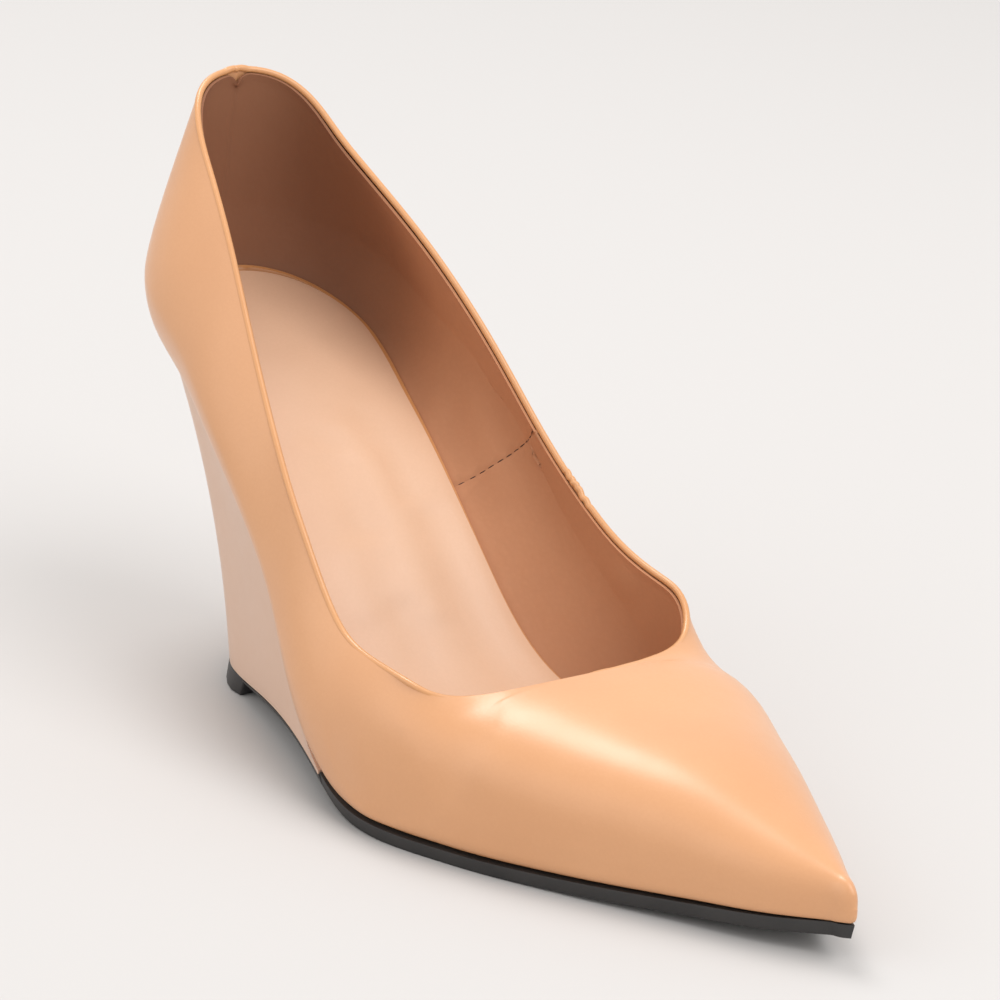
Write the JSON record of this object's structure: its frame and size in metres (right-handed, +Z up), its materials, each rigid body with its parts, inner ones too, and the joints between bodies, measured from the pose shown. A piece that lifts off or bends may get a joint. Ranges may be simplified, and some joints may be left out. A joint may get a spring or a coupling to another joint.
{
  "type": "wedge pump",
  "caption": "Pointed slip-on pump in tan leather on a leather-covered wedge, with a thin black rubber sole and top piece, for the right foot.",
  "frame": {"origin": "middle of the bounding box, on the floor that the shoe stands on", "axes": "+X from heel to toe, +Y to the inner side of the foot, +Z up"},
  "size_m": [0.241, 0.091, 0.1352],
  "materials": {
    "tan_leather": "smooth, satin, brown lining inside",
    "rim_leather": "smooth, satin",
    "sock_leather": "matt beige",
    "black_rubber": "matt"
  },
  "bodies": {
    "root": {"upper": "tan_leather", "insole": "rim_leather", "sock": "sock_leather", "wedge": "tan_leather", "outsole": "black_rubber", "top_piece": "black_rubber"}
  },
  "joints": []
}
